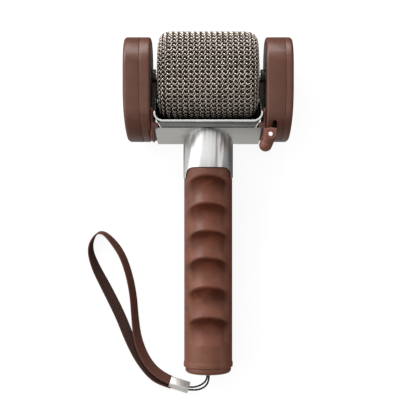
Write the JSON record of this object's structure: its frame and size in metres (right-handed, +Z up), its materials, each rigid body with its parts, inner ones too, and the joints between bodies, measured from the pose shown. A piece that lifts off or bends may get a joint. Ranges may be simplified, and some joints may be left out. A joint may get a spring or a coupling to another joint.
{
  "type": "karaoke microphone",
  "caption": "Handheld karaoke microphone with a wire-mesh head tilting in a cradle between two speaker pods, finger-dent grip, slide lever and wrist strap.",
  "frame": {"origin": "under the middle of the microphone, on the surface it lies on", "axes": "+Y along the handle towards the head, +X to the singer's right across the two pods, +Z up, away from the surface it lies on"},
  "size_m": [0.1437, 0.2569, 0.0555],
  "materials": {
    "brushed_silver": "satin, fine lengthwise brushing",
    "clamp_silver": "satin folded sheet",
    "grip_leather": "satin brown leather-look wrap",
    "pod_brown": "satin brown, fine grain",
    "lever_brown": "satin brown",
    "dark_plastic": "matt black",
    "plate_grey": "satin grey",
    "mesh_wire": "worn nickel wire",
    "foam_black": "open-cell foam",
    "steel": "machined",
    "pin_bright": "polished",
    "nylon": "nylon",
    "rubber_black": "matt rubber",
    "speaker_black": "satin black",
    "cone_paper": "pressed paper",
    "circuit_green": "solder mask",
    "battery_sleeve": "shrink sleeve",
    "capsule_metal": "satin",
    "cord_black": "braided",
    "strap_brown": "ribbed woven band"
  },
  "bodies": {
    "handle": {"neck_tube": "brushed_silver", "core_tube": "dark_plastic", "grip_sleeve": "grip_leather", "end_cap": "grip_leather", "end_cap_screws": "steel", "lanyard_eyelet": "nylon", "battery_tray": "dark_plastic", "battery_cell": "battery_sleeve", "battery_contacts": "steel", "amplifier_board": "circuit_green", "saddle_bracket": "brushed_silver", "yoke_bar": "pod_brown", "cradle_rail": "brushed_silver", "cradle": "brushed_silver", "cradle_screws": "steel", "main_board": "circuit_green", "slide_switch": "dark_plastic", "strap": "strap_brown", "lanyard_cord": "cord_black", "strap_clamp": "clamp_silver", "left_foot": "pod_brown", "left_arm": "dark_plastic", "left_bush": "nylon", "left_inner_shell": "pod_brown", "left_outer_cover": "pod_brown", "left_seam_gasket": "rubber_black", "left_side_plate": "plate_grey", "left_speaker_grille": "speaker_black", "left_speaker_basket": "speaker_black", "left_speaker_magnet": "steel", "left_speaker_cone": "cone_paper", "left_pod_screws": "steel", "right_foot": "pod_brown", "right_arm": "dark_plastic", "right_bush": "nylon", "right_inner_shell": "pod_brown", "right_outer_cover": "pod_brown", "right_seam_gasket": "rubber_black", "right_side_plate": "plate_grey", "right_speaker_grille": "speaker_black", "right_speaker_basket": "speaker_black", "right_speaker_magnet": "steel", "right_speaker_cone": "cone_paper", "right_pod_screws": "steel"},
    "head": {"mesh_grille": "mesh_wire", "foam_liner": "foam_black", "head_frame": "dark_plastic", "capsule": "capsule_metal", "capsule_mount": "rubber_black", "left_trunnion": "steel", "right_trunnion": "steel"},
    "power_lever": {"lever_plate": "lever_brown", "lever_pin": "pin_bright", "lever_barrel": "lever_brown", "lever_slider": "dark_plastic"}
  },
  "joints": [
    {"name": "head_tilt", "type": "hinge", "parent": "handle", "child": "head", "pos_m": [0, 0.08815, 0.025], "axis": [1, 0, 0], "range_deg": [-30, 30]},
    {"name": "power_slide", "type": "slide", "parent": "handle", "child": "power_lever", "axis": [0, 1, 0], "range_m": [0, 0.004]}
  ]
}
